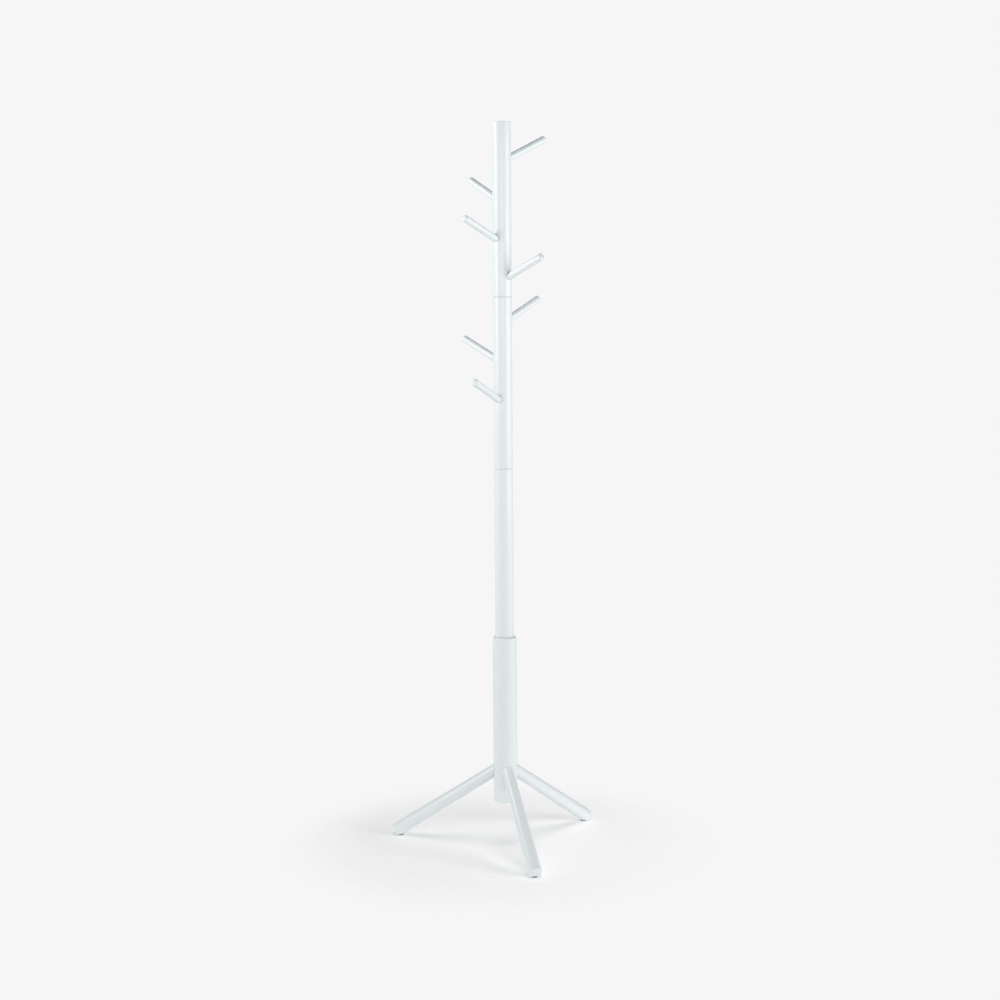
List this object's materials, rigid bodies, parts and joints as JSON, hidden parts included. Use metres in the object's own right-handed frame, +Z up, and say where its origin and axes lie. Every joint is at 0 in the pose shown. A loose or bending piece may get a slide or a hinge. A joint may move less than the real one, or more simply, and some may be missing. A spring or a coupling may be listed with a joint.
{
  "type": "standing coat rack",
  "caption": "Free-standing pole on splayed legs with peg hooks that climb its upper part in a spiral.",
  "frame": {"origin": "on the floor, on the axis of the poles, level with the undersides of the three glides", "axes": "+Z up along the poles; the front leg points along -Y, which is the front, and the other two legs stand 120 degrees from it, with the right one towards +X"},
  "size_m": [0.5168, 0.452, 1.75],
  "materials": {
    "white_paint": "satin white paint",
    "zinc_steel": "zinc plated",
    "brass_nut": "turned",
    "dark_glide": "matte"
  },
  "bodies": {
    "base": {"base_post": "white_paint", "base_post_nut": "zinc_steel", "glide_front": "dark_glide", "glide_left": "dark_glide", "glide_right": "dark_glide", "leg_front": "white_paint", "leg_front_bolt": "zinc_steel", "leg_front_nut": "brass_nut", "leg_left": "white_paint", "leg_left_bolt": "zinc_steel", "leg_left_nut": "brass_nut", "leg_right": "white_paint", "leg_right_bolt": "zinc_steel", "leg_right_nut": "brass_nut"},
    "lower": {"lower_pole": "white_paint", "lower_pole_nut": "zinc_steel", "lower_pole_stud": "zinc_steel"},
    "middle": {"hook_5": "white_paint", "hook_5_bolt": "zinc_steel", "hook_5_nut": "brass_nut", "hook_6": "white_paint", "hook_6_bolt": "zinc_steel", "hook_6_nut": "brass_nut", "hook_7": "white_paint", "hook_7_bolt": "zinc_steel", "hook_7_nut": "brass_nut", "middle_pole": "white_paint", "middle_pole_nut": "zinc_steel", "middle_pole_stud": "zinc_steel"},
    "upper": {"hook_1": "white_paint", "hook_1_bolt": "zinc_steel", "hook_1_nut": "brass_nut", "hook_2": "white_paint", "hook_2_bolt": "zinc_steel", "hook_2_nut": "brass_nut", "hook_3": "white_paint", "hook_3_bolt": "zinc_steel", "hook_3_nut": "brass_nut", "hook_4": "white_paint", "hook_4_bolt": "zinc_steel", "hook_4_nut": "brass_nut", "upper_pole": "white_paint", "upper_pole_stud": "zinc_steel"}
  },
  "joints": [
    {"name": "lower_pole_turn", "type": "hinge", "parent": "base", "child": "lower", "pos_m": [0, 0, 0.517], "axis": [0, 0, 1], "range_deg": [0, 180]},
    {"name": "middle_pole_turn", "type": "hinge", "parent": "lower", "child": "middle", "pos_m": [0, 0, 0.928], "axis": [0, 0, 1], "range_deg": [0, 180]},
    {"name": "upper_pole_turn", "type": "hinge", "parent": "middle", "child": "upper", "pos_m": [0, 0, 1.339], "axis": [0, 0, 1], "range_deg": [0, 180]}
  ]
}
